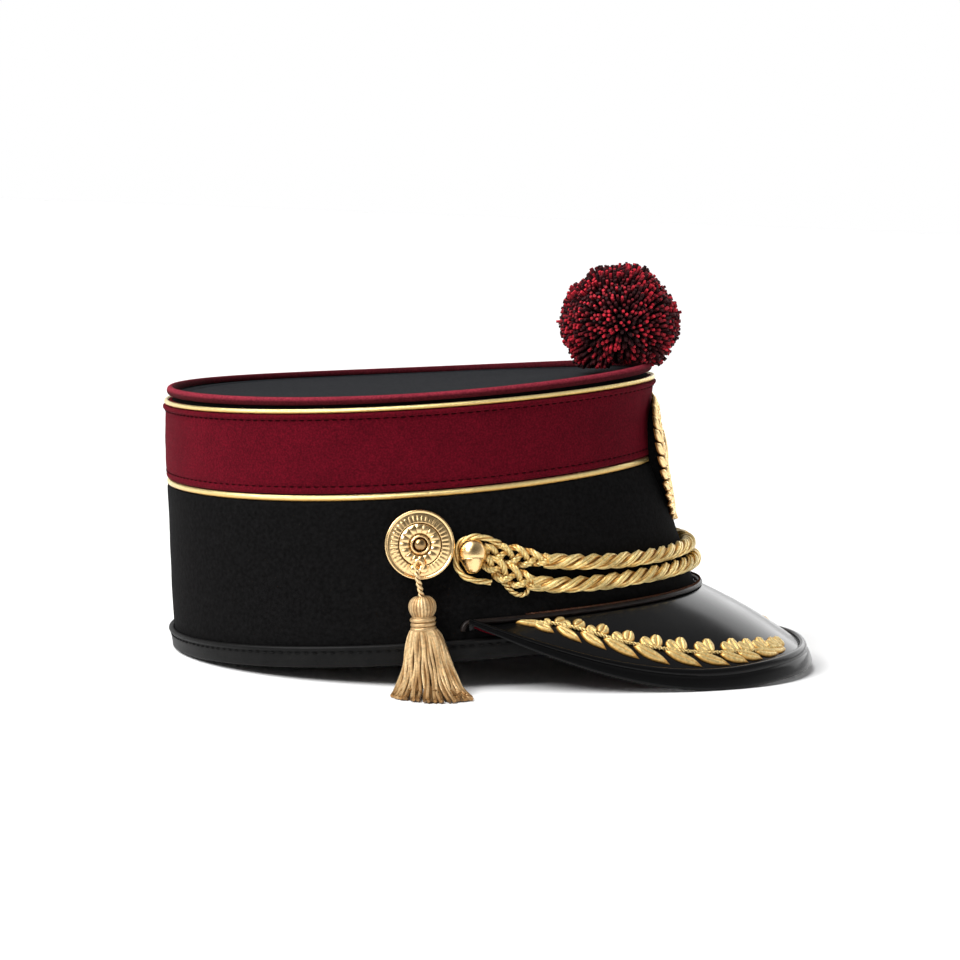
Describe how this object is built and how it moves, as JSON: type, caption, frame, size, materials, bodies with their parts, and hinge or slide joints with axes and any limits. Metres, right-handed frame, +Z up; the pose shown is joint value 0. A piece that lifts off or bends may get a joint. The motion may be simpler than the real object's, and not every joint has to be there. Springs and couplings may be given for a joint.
{
  "type": "uniform hat",
  "caption": "Marching band shako in black felt with a burgundy band, gold cords, a leaf-trimmed patent peak, a hanging tassel, a plain leaf badge and a red pompom.",
  "frame": {"origin": "Middle of the bounding box at table level, z = 0.", "axes": "+X forward, the way the peak points; +Y to the wearer's left; +Z up. The hat is tipped back by about 5 degrees, as it rests on a table."},
  "size_m": [0.2622, 0.212, 0.158],
  "materials": {
    "black_felt": "matt pressed wool felt",
    "black_leather": "satin, stitched",
    "patent_leather": "glossy patent",
    "burgundy_wool": "matt wool cloth",
    "gold_cord": "metallic gold thread",
    "gilt_metal": "bright gilt",
    "red_yarn": "cut wool yarn"
  },
  "bodies": {
    "root": {"body_wall": "black_felt", "crown_top": "black_felt", "base_band": "black_leather", "burgundy_band": "burgundy_wool", "top_roll": "burgundy_wool", "upper_piping": "gold_cord", "lower_piping": "gold_cord", "peak": "patent_leather", "peak_lining": "burgundy_wool", "peak_rim": "patent_leather", "peak_trim": "black_leather", "upper_cord": "gold_cord", "lower_cord": "gold_cord", "upper_knot_right": "gold_cord", "upper_knot_left": "gold_cord", "lower_knot_right": "gold_cord", "lower_knot_left": "gold_cord", "slide_strand_right": "gold_cord", "slide_strand_left": "gold_cord", "cord_slide_right": "gilt_metal", "cord_slide_left": "gilt_metal", "side_button_right": "gilt_metal", "side_button_left": "gilt_metal", "leaf_spray_right": "gold_cord", "leaf_spray_left": "gold_cord", "badge_wreath": "gilt_metal", "badge_centre": "gilt_metal", "tassel_cord": "gold_cord", "tassel_head": "gold_cord", "tassel_collar": "gold_cord", "tassel_skirt": "gold_cord", "pompom": "red_yarn"}
  },
  "joints": []
}
